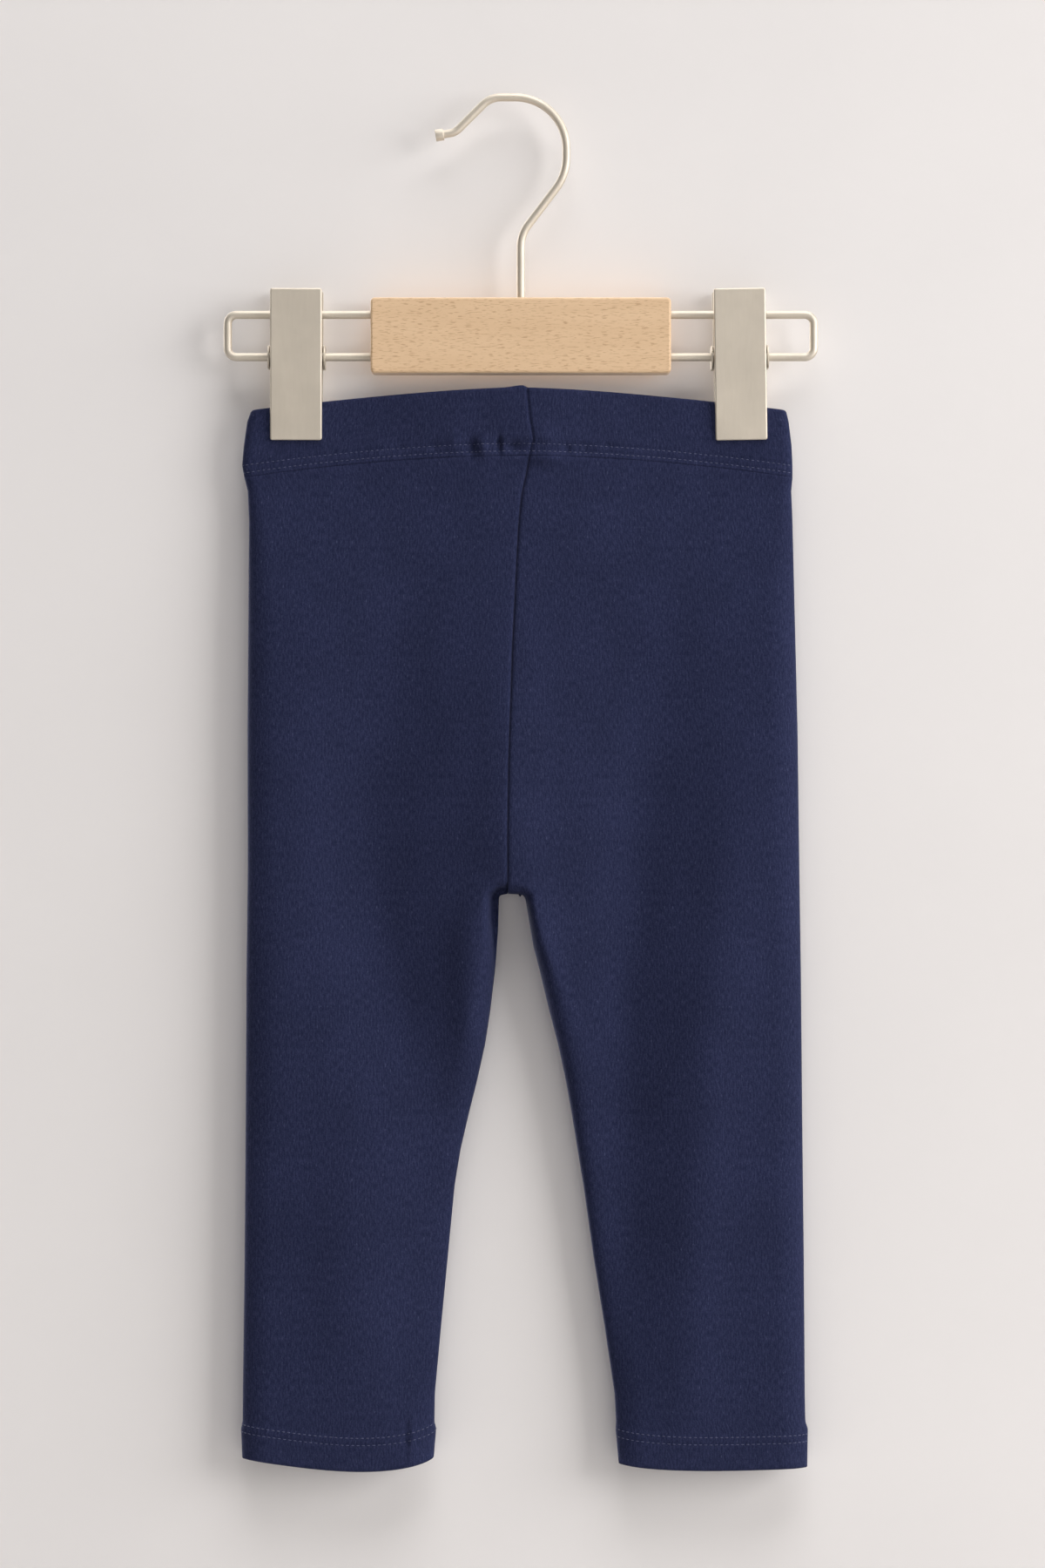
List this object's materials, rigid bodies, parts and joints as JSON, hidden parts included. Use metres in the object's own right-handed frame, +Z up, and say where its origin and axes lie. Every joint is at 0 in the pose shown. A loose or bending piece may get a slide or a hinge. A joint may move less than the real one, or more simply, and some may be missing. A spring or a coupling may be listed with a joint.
{
  "type": "leggings on a clip hanger",
  "caption": "Plain jersey baby leggings with an elastic waistband, hung flat by two spring clips from a small wire and wood trouser hanger.",
  "frame": {"origin": "top of the hook's inside, straight above the hook's stem, where a rail or peg carries the hanger", "axes": "+Z up, +X along the hanger to the viewer's right; the viewer is at -Y and sees the back of the leggings"},
  "size_m": [0.232, 0.022, 0.5371],
  "materials": {
    "jersey": "matte navy cotton jersey with elastane",
    "beech": "sanded beech, thin matte oil",
    "nickel": "satin nickel plate",
    "spring_steel": "bare drawn spring wire"
  },
  "bodies": {
    "root": {"waistband": "jersey", "leg_left": "jersey", "leg_right": "jersey", "hanger_bar": "beech", "hanger_wire": "nickel", "hanger_hook": "nickel", "clip_left_front_jaw": "nickel", "clip_left_back_jaw": "nickel", "clip_left_spring": "spring_steel", "clip_right_front_jaw": "nickel", "clip_right_back_jaw": "nickel", "clip_right_spring": "spring_steel"}
  },
  "joints": []
}
